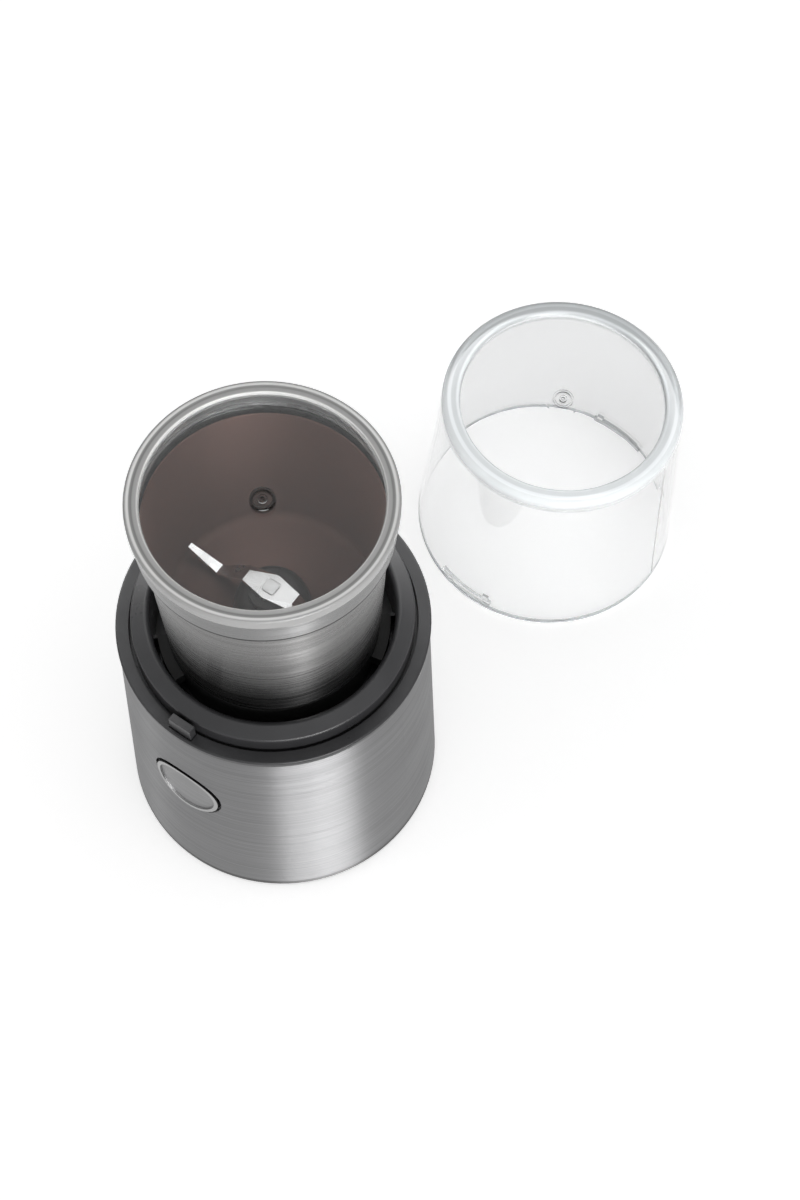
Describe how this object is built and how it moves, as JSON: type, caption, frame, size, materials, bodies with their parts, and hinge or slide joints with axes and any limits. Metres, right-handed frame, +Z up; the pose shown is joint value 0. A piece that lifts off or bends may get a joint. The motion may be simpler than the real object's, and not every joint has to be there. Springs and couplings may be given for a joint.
{
  "type": "electric spice grinder",
  "caption": "Steel-clad motor base with a round push button and black collar, a lift-out steel cup with blade and clear cap, and a clear outer lid standing beside it.",
  "frame": {"origin": "on the table under the axis of the motor base, 0.6 mm below the middle of the bottom cover's underside", "axes": "+Z up along the motor's and the cup's axis, -Y out through the push button, +Y towards the cord inlet and the lid that stands beside the base"},
  "size_m": [0.1413, 0.2631, 0.1975],
  "materials": {
    "shell_steel": "brushed around the shell",
    "cup_steel": "brushed around the cup",
    "button_steel": "brushed face with a bright rim",
    "blade_steel": "stamped and ground",
    "shaft_steel": "turned",
    "bracket_steel": "pressed and plated",
    "spring_steel": "bright wire",
    "screw_steel": "zinc plated",
    "lamination_iron": "stacked laminations",
    "copper_wire": "enamelled copper",
    "bearing_bronze": "sintered bronze",
    "holder_brass": "folded sheet",
    "black_plastic": "fine matt moulding",
    "hub_plastic": "matt moulding, worn by the grounds",
    "coupling_plastic": "tough moulding",
    "fan_plastic": "moulded",
    "switch_plastic": "moulded",
    "white_plastic": "moulded",
    "board_green": "coated board",
    "carbon": "pressed carbon",
    "black_rubber": "soft moulding",
    "clear_plastic": "clear polished moulding"
  },
  "bodies": {
    "base": {"base_shell": "shell_steel", "bottom_cover": "black_plastic", "rubber_feet": "black_rubber", "cover_screws": "screw_steel", "collar": "black_plastic", "button_guide": "black_plastic", "switch_carrier": "white_plastic", "carrier_screws": "screw_steel", "button_switch": "switch_plastic", "interlock_switch": "switch_plastic", "button_spring": "spring_steel", "interlock_spring": "spring_steel", "cord_gland": "black_rubber", "circuit_board": "board_green", "upper_bracket": "bracket_steel", "lower_bracket": "bracket_steel", "motor_dampers": "black_rubber", "motor_screws": "screw_steel", "upper_bearing": "bearing_bronze", "lower_bearing": "bearing_bronze", "stator_core": "lamination_iron", "stator_coils": "copper_wire", "brush_holders": "holder_brass", "carbon_brushes": "carbon"},
    "button": {"push_button": "button_steel", "button_plunger": "black_plastic"},
    "interlock": {"interlock_plunger": "black_plastic"},
    "rotor": {"motor_shaft": "shaft_steel", "armature_core": "lamination_iron", "armature_windings": "copper_wire", "commutator": "copper_wire", "cooling_fan": "fan_plastic", "drive_coupling": "coupling_plastic"},
    "cup": {"grinding_cup": "cup_steel", "cup_base": "black_plastic", "cup_hub": "hub_plastic", "cup_screws": "screw_steel", "cup_bushing": "bearing_bronze", "shaft_seal": "black_rubber"},
    "blade": {"grinder_blade": "blade_steel", "blade_shaft": "shaft_steel", "blade_spacer": "hub_plastic", "driven_coupling": "coupling_plastic"},
    "cap": {"cup_cap": "clear_plastic"},
    "lid": {"lid": "clear_plastic"}
  },
  "joints": [
    {"name": "button_press", "type": "slide", "parent": "base", "child": "button", "axis": [0, 1, 0], "range_m": [0, 0.0025], "stiffness_N_per_m": 600, "springref_m": -0.002, "deforming": ["button_spring"]},
    {"name": "interlock_press", "type": "slide", "parent": "base", "child": "interlock", "axis": [0, 0, -1], "range_m": [0, 0.006], "stiffness_N_per_m": 300, "springref_m": -0.003, "deforming": ["interlock_spring"]},
    {"name": "rotor_spin", "type": "hinge", "parent": "base", "child": "rotor", "pos_m": [0, 0, 0.06], "axis": [0, 0, 1], "continuous": true},
    {"name": "cup_lift", "type": "slide", "parent": "base", "child": "cup", "axis": [0, 0, 1], "range_m": [0, 0.08]},
    {"name": "blade_spin", "type": "hinge", "parent": "cup", "child": "blade", "pos_m": [0, 0, 0.13], "axis": [0, 0, 1], "continuous": true},
    {"name": "cap_lift", "type": "slide", "parent": "cup", "child": "cap", "axis": [0, 0, 1], "range_m": [0, 0.03]},
    {"name": "lid_lift", "type": "slide", "parent": "base", "child": "lid", "axis": [0, 0, 1], "range_m": [0, 0.1]}
  ],
  "couplings": [
    {"joint": "blade_spin", "follows": "rotor_spin", "ratio": 1}
  ]
}
